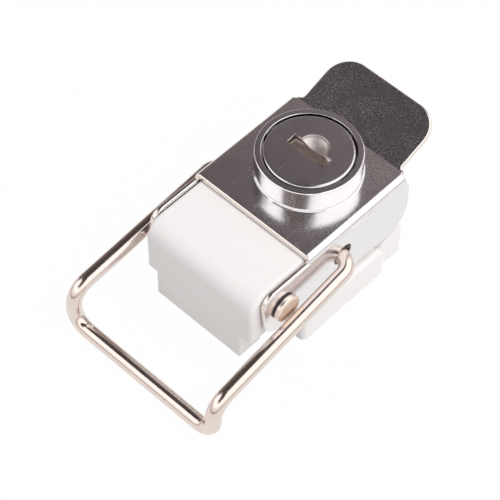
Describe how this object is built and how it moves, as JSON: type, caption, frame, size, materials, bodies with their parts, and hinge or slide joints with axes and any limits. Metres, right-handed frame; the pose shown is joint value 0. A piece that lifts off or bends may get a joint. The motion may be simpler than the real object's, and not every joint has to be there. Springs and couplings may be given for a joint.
{
  "type": "enclosure latch lock",
  "caption": "Over-centre toggle latch for an enclosure: bent steel lever with a finger tab, wire bail and round key lock with a locking tongue, on a moulded base with threaded inserts.",
  "frame": {"origin": "on the mounting face, midway between the two threaded inserts", "axes": "+Z away from the enclosure's wall, through the lever to the key; -Y towards the wire bail; +Y towards the finger tab; X along the lever's rivet"},
  "size_m": [0.0422, 0.0748, 0.03],
  "materials": {
    "white_plastic": "moulded, smooth, slightly satin",
    "polished_steel": "stainless sheet, mirror polished, faintly speckled",
    "nickel_wire": "round wire, bright nickel plated",
    "rivet_steel": "nickel plated",
    "lock_chrome": "polished chrome on a die casting",
    "shutter_brass": "dull olive brass",
    "brass": "turned or stamped, bare",
    "spring_steel": "drawn wire or hardened strip",
    "zinc_plate": "bright zinc plated",
    "black_nylon": "stamped washer, satin",
    "black_rubber": "moulded rubber"
  },
  "bodies": {
    "base": {"base_housing": "white_plastic", "insert_front": "brass", "insert_rear": "brass", "pivot_rivet": "rivet_steel", "rivet_washer_left": "black_nylon", "rivet_washer_right": "black_nylon"},
    "lever": {"lever_plate": "polished_steel", "lock_housing": "lock_chrome", "nut_washer": "zinc_plate", "lock_nut": "zinc_plate"},
    "bail": {"wire_bail": "nickel_wire"},
    "plug": {"lock_plug": "lock_chrome", "plug_face_cap": "lock_chrome", "wafer_1": "brass", "wafer_2": "brass", "wafer_3": "brass", "wafer_4": "brass", "wafer_5": "brass", "wafer_spring_1": "spring_steel", "wafer_spring_2": "spring_steel", "wafer_spring_3": "spring_steel", "wafer_spring_4": "spring_steel", "wafer_spring_5": "spring_steel", "shutter_pin": "spring_steel", "shutter_spring": "spring_steel", "plug_seal_ring": "black_rubber", "plug_clip": "spring_steel", "stop_washer": "zinc_plate", "lock_cam": "zinc_plate", "cam_washer": "spring_steel", "cam_screw": "zinc_plate"},
    "shutter": {"keyway_shutter": "shutter_brass"}
  },
  "joints": [
    {"name": "lever_hinge", "type": "hinge", "parent": "base", "child": "lever", "pos_m": [0, -0.0193, 0.0165], "axis": [1, 0, 0], "range_deg": [0, 105]},
    {"name": "bail_hinge", "type": "hinge", "parent": "lever", "child": "bail", "pos_m": [0, -0.0025, 0.0166], "axis": [-1, 0, 0], "range_deg": [0, 215]},
    {"name": "plug_turn", "type": "hinge", "parent": "lever", "child": "plug", "pos_m": [0, 0.0045, 0.02], "axis": [0, 0, -1], "range_deg": [0, 90]},
    {"name": "shutter_flap", "type": "hinge", "parent": "plug", "child": "shutter", "pos_m": [0, 0.0034, 0.02885], "axis": [-1, 0, 0], "range_deg": [0, 80], "stiffness_Nm_per_rad": 0.00002, "springref_deg": -11.46}
  ]
}
